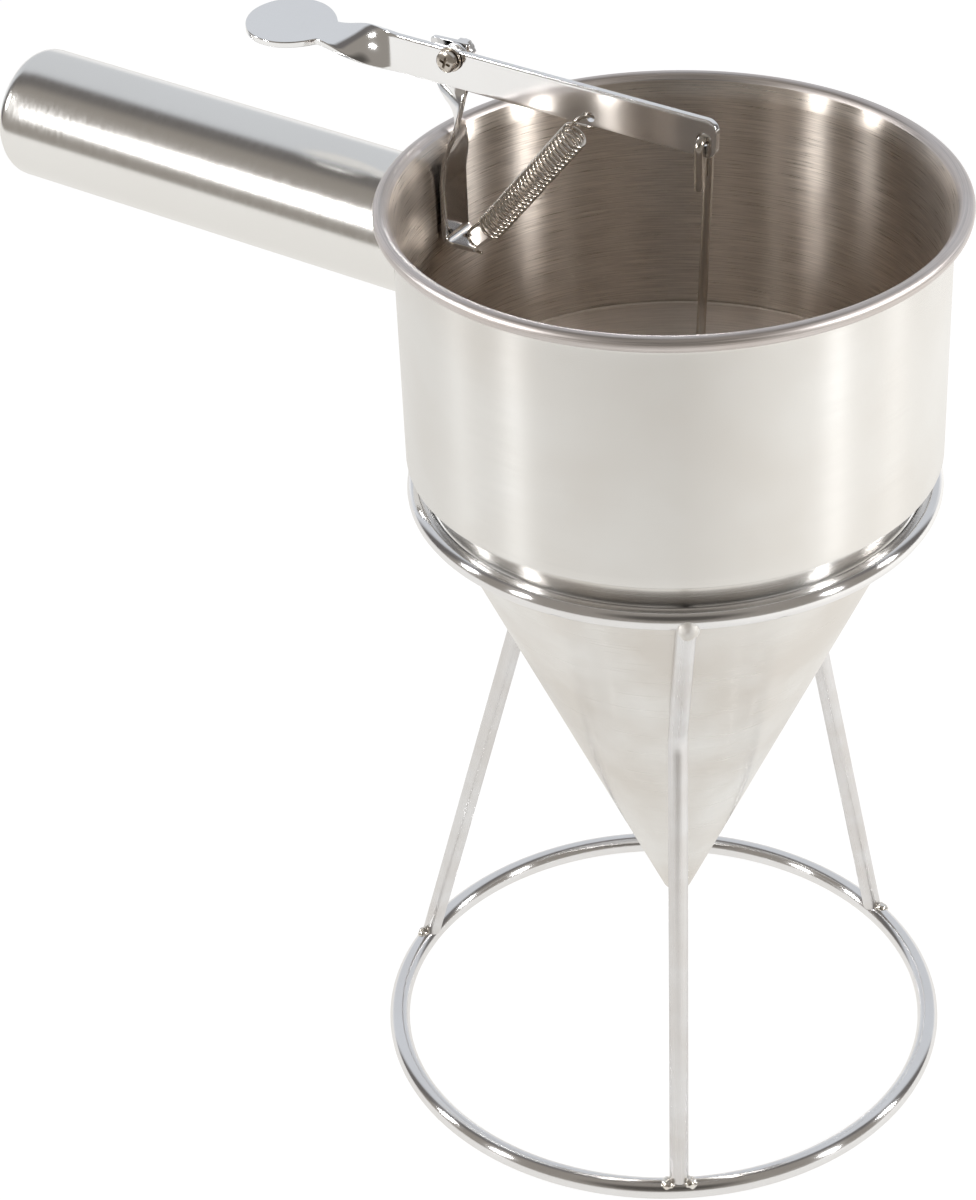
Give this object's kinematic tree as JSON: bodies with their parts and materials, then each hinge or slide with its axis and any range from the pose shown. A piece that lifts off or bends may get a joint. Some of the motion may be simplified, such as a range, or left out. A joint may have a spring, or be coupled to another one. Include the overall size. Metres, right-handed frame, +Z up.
{
  "type": "fondant funnel with lever valve and wire stand",
  "caption": "Stainless fondant funnel with a hollow side handle, a sprung thumb lever that lifts a plunger rod from the outlet, and a wire stand.",
  "frame": {"origin": "middle of the bounding box on the table", "axes": "+Z up, the handle points along -X, +Y to the left seen from the handle's end towards the bowl"},
  "size_m": [0.2934, 0.1654, 0.3031],
  "materials": {
    "bowl_steel": "satin rim, mirror-like outside, fine turned lines inside",
    "cone_steel": "satin, fine turned lines",
    "handle_steel": "mirror polished stainless",
    "lever_steel": "polished stainless strip",
    "bracket_steel": "satin stainless strip",
    "screw_steel": "bright stainless fastener",
    "spring_steel": "drawn spring wire",
    "rod_steel": "polished round wire",
    "tip_steel": "turned stainless stopper",
    "ring_steel": "bright polished wire",
    "leg_steel": "satin wire"
  },
  "bodies": {
    "stand": {"stand_top_ring": "ring_steel", "stand_base_ring": "ring_steel", "stand_leg_front": "leg_steel", "stand_leg_left": "leg_steel", "stand_leg_right": "leg_steel"},
    "funnel": {"bowl": "bowl_steel", "cone_spout": "cone_steel", "handle_tube": "handle_steel", "lever_bracket": "bracket_steel", "pivot_screw": "screw_steel", "screw_washer": "screw_steel", "spacer_washer": "screw_steel", "pivot_nut": "screw_steel", "return_spring": "spring_steel"},
    "lever_arm": {"lever": "lever_steel"},
    "plunger": {"plunger_rod": "rod_steel", "plunger_tip": "tip_steel"}
  },
  "joints": [
    {"name": "funnel_lift", "type": "slide", "parent": "stand", "child": "funnel", "axis": [0, 0, 1], "range_m": [0, 0.16]},
    {"name": "lever_pivot", "type": "hinge", "parent": "funnel", "child": "lever_arm", "pos_m": [0.0021, 0.00236, 0.2997], "axis": [0, -1, 0], "range_deg": [0, 27], "stiffness_Nm_per_rad": 0.95, "springref_deg": -10.89, "deforming": ["return_spring"]},
    {"name": "plunger_hang", "type": "hinge", "parent": "lever_arm", "child": "plunger", "pos_m": [0.0777, 0.00236, 0.29341], "axis": [0, -1, 0], "range_deg": [-27, 0]}
  ],
  "couplings": [
    {"joint": "plunger_hang", "follows": "lever_pivot", "ratio": -1}
  ]
}
